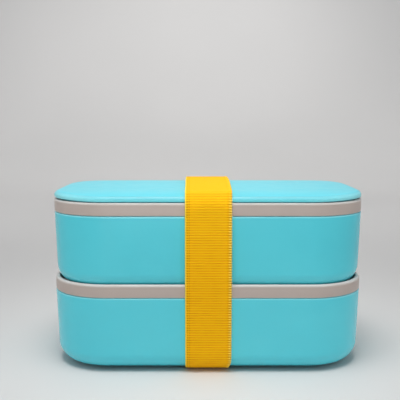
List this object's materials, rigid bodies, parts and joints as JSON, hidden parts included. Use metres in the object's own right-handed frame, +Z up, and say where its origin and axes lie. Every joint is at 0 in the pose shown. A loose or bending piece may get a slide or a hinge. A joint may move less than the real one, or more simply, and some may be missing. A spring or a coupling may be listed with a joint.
{
  "type": "bento lunch box",
  "caption": "Stacking bento lunch box: rounded plastic tubs with sealed inner lids, a low crowned cover, loose dividers and an elastic band that holds the stack shut.",
  "frame": {"origin": "middle of the footprint, on the surface that the foot ring stands on", "axes": "+X along the length, +Y to the back, +Z up"},
  "size_m": [0.185, 0.1084, 0.1078],
  "materials": {
    "tub_plastic": "satin moulded plastic",
    "lid_plastic": "satin moulded plastic",
    "silicone": "soft silicone",
    "band_elastic": "ribbed woven elastic"
  },
  "bodies": {
    "base": {"lower_container": "tub_plastic", "elastic_band": "band_elastic"},
    "lower_partition": {"lower_divider": "lid_plastic"},
    "lower_lid": {"lower_inner_lid": "lid_plastic", "lower_lid_seal": "silicone"},
    "lower_vent": {"lower_vent_plug": "silicone"},
    "upper_tier": {"upper_container": "tub_plastic"},
    "upper_partition": {"upper_divider": "lid_plastic"},
    "upper_lid": {"upper_inner_lid": "lid_plastic", "upper_lid_seal": "silicone"},
    "upper_vent": {"upper_vent_plug": "silicone"},
    "cover": {"outer_lid": "tub_plastic"}
  },
  "joints": [
    {"name": "lower_lid_lift", "type": "slide", "parent": "base", "child": "lower_lid", "axis": [0, 0, 1], "range_m": [0, 0.02], "deforming": ["elastic_band"]},
    {"name": "upper_tier_lift", "type": "slide", "parent": "lower_lid", "child": "upper_tier", "axis": [0, 0, 1], "range_m": [0, 0.025], "deforming": ["elastic_band"]},
    {"name": "upper_lid_lift", "type": "slide", "parent": "upper_tier", "child": "upper_lid", "axis": [0, 0, 1], "range_m": [0, 0.02], "deforming": ["elastic_band"]},
    {"name": "cover_lift", "type": "slide", "parent": "upper_lid", "child": "cover", "axis": [0, 0, 1], "range_m": [0, 0.025], "deforming": ["elastic_band"]},
    {"name": "lower_vent_lift", "type": "slide", "parent": "lower_lid", "child": "lower_vent", "axis": [0, 0, 1], "range_m": [0, 0.0014]},
    {"name": "upper_vent_lift", "type": "slide", "parent": "upper_lid", "child": "upper_vent", "axis": [0, 0, 1], "range_m": [0, 0.0014]},
    {"name": "lower_divider_slide", "type": "slide", "parent": "base", "child": "lower_partition", "axis": [1, 0, 0], "range_m": [-0.07, 0.028]},
    {"name": "upper_divider_slide", "type": "slide", "parent": "upper_tier", "child": "upper_partition", "axis": [1, 0, 0], "range_m": [-0.07, 0.028]}
  ]
}
